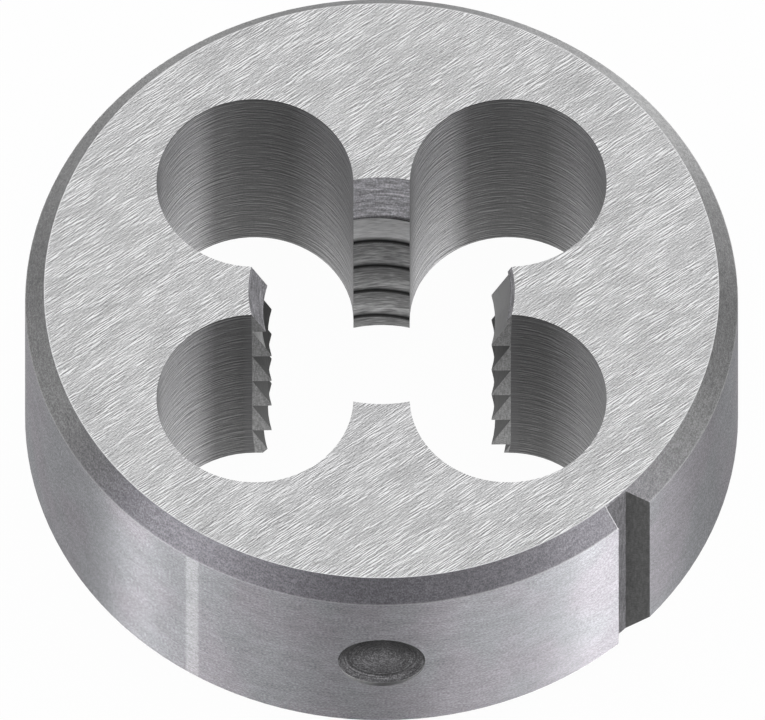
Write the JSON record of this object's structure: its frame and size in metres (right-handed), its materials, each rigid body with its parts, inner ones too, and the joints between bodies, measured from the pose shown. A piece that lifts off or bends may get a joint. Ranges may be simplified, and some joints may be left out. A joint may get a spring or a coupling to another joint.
{
  "type": "threading die",
  "caption": "Round steel die that cuts an outside screw thread on a rod: toothed lands between chip holes, with a notch and dished seats in its rim.",
  "frame": {"origin": "middle of the bottom face, on the axis of the die", "axes": "+Z along the axis of the die, towards the face where the workpiece starts; the middles of the lands lie on X and Y; the front set-screw seat is at -Y and the adjusting notch is half-way between -Y and +X"},
  "size_m": [0.038, 0.038, 0.014],
  "materials": {
    "tool_steel": "ground faces, satin turned rim"
  },
  "bodies": {
    "root": {"die_body": "tool_steel"}
  },
  "joints": []
}
